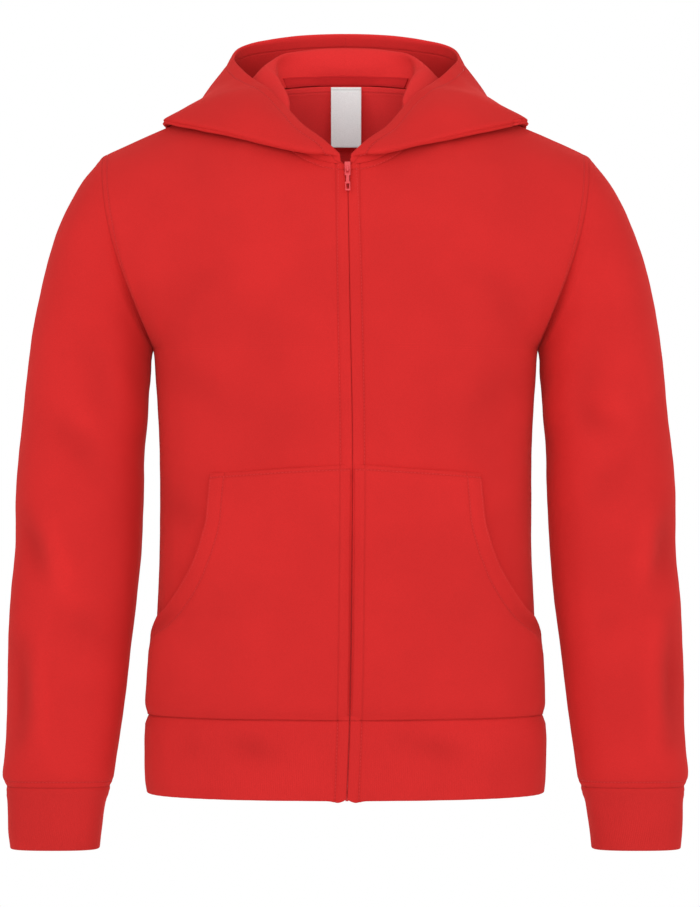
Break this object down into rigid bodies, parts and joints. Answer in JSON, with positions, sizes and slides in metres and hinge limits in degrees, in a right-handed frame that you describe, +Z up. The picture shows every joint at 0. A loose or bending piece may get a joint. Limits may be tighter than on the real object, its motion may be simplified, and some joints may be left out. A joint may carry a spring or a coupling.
{
  "type": "hooded sweatshirt",
  "caption": "Child's full-zip hooded sweatshirt, filled out with no wearer: hood down, split kangaroo pocket, ribbed cuffs and waistband, hollow and open inside.",
  "frame": {"origin": "middle of the neck opening, 7 mm above the shoulder seams' inner ends, where the garment hangs on its wearer", "axes": "+Z up, the garment's front faces -Y, +X is the wearer's left"},
  "size_m": [0.5494, 0.248, 0.6671],
  "materials": {
    "fleece": "red brushed-back sweatshirt knit, matt",
    "rib": "red one-by-one rib knit, matt",
    "neck_tape": "red self-fabric binding tape",
    "label": "white woven satin, bare",
    "zip_tape": "red woven zip tape",
    "zip_coil": "red nylon coil",
    "zip_enamel": "glossy red enamel on die-cast metal"
  },
  "bodies": {
    "garment": {"back": "fleece", "cuff_left": "rib", "cuff_right": "rib", "front_left": "fleece", "front_right": "fleece", "hood_left": "fleece", "hood_right": "fleece", "label": "label", "neck_tape": "neck_tape", "pocket_left": "fleece", "pocket_right": "fleece", "sleeve_left": "fleece", "sleeve_right": "fleece", "waistband": "rib", "zip_box": "zip_coil", "zip_chain": "zip_coil", "zip_slider": "zip_enamel", "zip_tape_left": "zip_tape", "zip_tape_right": "zip_tape"},
    "zip_pull": {"zip_pull": "zip_enamel"}
  },
  "joints": [
    {"name": "pull_hinge", "type": "hinge", "parent": "garment", "child": "zip_pull", "pos_m": [0.00172, -0.06731, -0.07173], "axis": [-1, 0, 0], "range_deg": [0, 140]}
  ]
}
